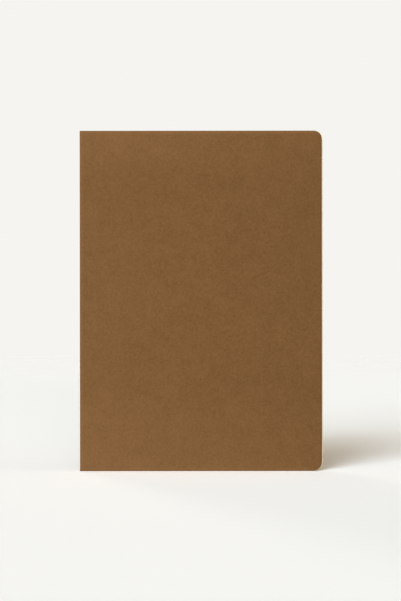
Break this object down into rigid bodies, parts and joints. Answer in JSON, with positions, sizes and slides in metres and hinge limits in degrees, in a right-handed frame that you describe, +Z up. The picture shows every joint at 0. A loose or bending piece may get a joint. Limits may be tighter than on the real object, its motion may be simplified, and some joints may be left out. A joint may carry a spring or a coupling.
{
  "type": "paper-covered board notebook",
  "caption": "Closed A5 notebook with paper-covered boards cut flush with sewn sections, a square spine, rounded fore-edge corners, and covers and leaves that open.",
  "frame": {"origin": "on the supporting surface, under the middle of the closed notebook standing on its tail", "axes": "+Z up from tail to head, -Y out of the front cover, -X out of the spine, +X out of the fore edge"},
  "size_m": [0.15, 0.0142, 0.21],
  "materials": {
    "cover_paper": "uncoated brown fibre paper, matt, faintly mottled",
    "greyboard": "cut edge of dense brown-grey bookbinding board, glued under the cover paper",
    "endpaper": "smooth cream endpaper, matt",
    "page_paper": "cream uncoated writing paper, matt",
    "spine_card": "stiff grey spine card",
    "gauze": "open-weave bookbinding gauze set in dried glue",
    "linen_thread": "waxed linen sewing thread"
  },
  "bodies": {
    "spine": {"spine_paper": "cover_paper", "spine_card": "spine_card", "spine_mull": "gauze", "sewing_thread_1": "linen_thread", "sewing_thread_2": "linen_thread", "sewing_thread_3": "linen_thread", "sewing_thread_4": "linen_thread", "sewing_thread_5": "linen_thread", "section_5_sheet_1": "page_paper", "section_5_sheet_2": "page_paper", "section_5_sheet_3": "page_paper", "section_5_sheet_4": "page_paper"},
    "front_cover": {"front_cover_paper": "cover_paper", "front_board": "greyboard", "front_pastedown": "endpaper"},
    "back_cover": {"back_cover_paper": "cover_paper", "back_board": "greyboard", "back_pastedown": "endpaper"},
    "front_flyleaf": {"front_flyleaf": "endpaper"},
    "back_flyleaf": {"back_flyleaf": "endpaper"},
    "section_1": {"section_1_sheet_1": "page_paper", "section_1_sheet_2": "page_paper", "section_1_sheet_3": "page_paper", "section_1_sheet_4": "page_paper", "front_endpaper_strip": "endpaper"},
    "section_2": {"section_2_sheet_1": "page_paper", "section_2_sheet_2": "page_paper", "section_2_sheet_3": "page_paper", "section_2_sheet_4": "page_paper"},
    "section_3": {"section_3_sheet_1": "page_paper", "section_3_sheet_2": "page_paper", "section_3_sheet_3": "page_paper", "section_3_sheet_4": "page_paper"},
    "section_4": {"section_4_sheet_1": "page_paper", "section_4_sheet_2": "page_paper", "section_4_sheet_3": "page_paper", "section_4_sheet_4": "page_paper"},
    "section_6": {"section_6_sheet_1": "page_paper", "section_6_sheet_2": "page_paper", "section_6_sheet_3": "page_paper", "section_6_sheet_4": "page_paper"},
    "section_7": {"section_7_sheet_1": "page_paper", "section_7_sheet_2": "page_paper", "section_7_sheet_3": "page_paper", "section_7_sheet_4": "page_paper"},
    "section_8": {"section_8_sheet_1": "page_paper", "section_8_sheet_2": "page_paper", "section_8_sheet_3": "page_paper", "section_8_sheet_4": "page_paper"},
    "section_9": {"section_9_sheet_1": "page_paper", "section_9_sheet_2": "page_paper", "section_9_sheet_3": "page_paper", "section_9_sheet_4": "page_paper", "back_endpaper_strip": "endpaper"}
  },
  "joints": [
    {"name": "front_cover_hinge", "type": "hinge", "parent": "spine", "child": "front_cover", "pos_m": [-0.07501, -0.00714, 0.105], "axis": [0, 0, -1], "range_deg": [0, 178]},
    {"name": "section_1_fold", "type": "hinge", "parent": "spine", "child": "section_1", "pos_m": [-0.07349, -0.00515, 0.105], "axis": [0, 0, -1], "range_deg": [0, 80.1]},
    {"name": "front_flyleaf_fold", "type": "hinge", "parent": "section_1", "child": "front_flyleaf", "pos_m": [-0.06849, -0.00533, 0.105], "axis": [0, 0, -1], "range_deg": [0, 69.42]},
    {"name": "section_2_fold", "type": "hinge", "parent": "spine", "child": "section_2", "pos_m": [-0.07349, -0.004, 0.105], "axis": [0, 0, -1], "range_deg": [0, 38.45]},
    {"name": "section_3_fold", "type": "hinge", "parent": "spine", "child": "section_3", "pos_m": [-0.07349, -0.00285, 0.105], "axis": [0, 0, -1], "range_deg": [0, 18.51]},
    {"name": "section_4_fold", "type": "hinge", "parent": "spine", "child": "section_4", "pos_m": [-0.07349, -0.0017, 0.105], "axis": [0, 0, -1], "range_deg": [0, 8.9]},
    {"name": "back_cover_hinge", "type": "hinge", "parent": "spine", "child": "back_cover", "pos_m": [-0.07501, 0.00714, 0.105], "axis": [0, 0, 1], "range_deg": [0, 178]},
    {"name": "section_9_fold", "type": "hinge", "parent": "spine", "child": "section_9", "pos_m": [-0.07349, 0.00515, 0.105], "axis": [0, 0, 1], "range_deg": [0, 80.1]},
    {"name": "back_flyleaf_fold", "type": "hinge", "parent": "section_9", "child": "back_flyleaf", "pos_m": [-0.06849, 0.00533, 0.105], "axis": [0, 0, 1], "range_deg": [0, 69.42]},
    {"name": "section_8_fold", "type": "hinge", "parent": "spine", "child": "section_8", "pos_m": [-0.07349, 0.004, 0.105], "axis": [0, 0, 1], "range_deg": [0, 38.45]},
    {"name": "section_7_fold", "type": "hinge", "parent": "spine", "child": "section_7", "pos_m": [-0.07349, 0.00285, 0.105], "axis": [0, 0, 1], "range_deg": [0, 18.51]},
    {"name": "section_6_fold", "type": "hinge", "parent": "spine", "child": "section_6", "pos_m": [-0.07349, 0.0017, 0.105], "axis": [0, 0, 1], "range_deg": [0, 8.9]}
  ],
  "couplings": [
    {"joint": "section_1_fold", "follows": "front_cover_hinge", "ratio": 0.45},
    {"joint": "front_flyleaf_fold", "follows": "front_cover_hinge", "ratio": 0.39},
    {"joint": "section_2_fold", "follows": "front_cover_hinge", "ratio": 0.216},
    {"joint": "section_3_fold", "follows": "front_cover_hinge", "ratio": 0.104},
    {"joint": "section_4_fold", "follows": "front_cover_hinge", "ratio": 0.05},
    {"joint": "section_9_fold", "follows": "back_cover_hinge", "ratio": 0.45},
    {"joint": "back_flyleaf_fold", "follows": "back_cover_hinge", "ratio": 0.39},
    {"joint": "section_8_fold", "follows": "back_cover_hinge", "ratio": 0.216},
    {"joint": "section_7_fold", "follows": "back_cover_hinge", "ratio": 0.104},
    {"joint": "section_6_fold", "follows": "back_cover_hinge", "ratio": 0.05}
  ]
}
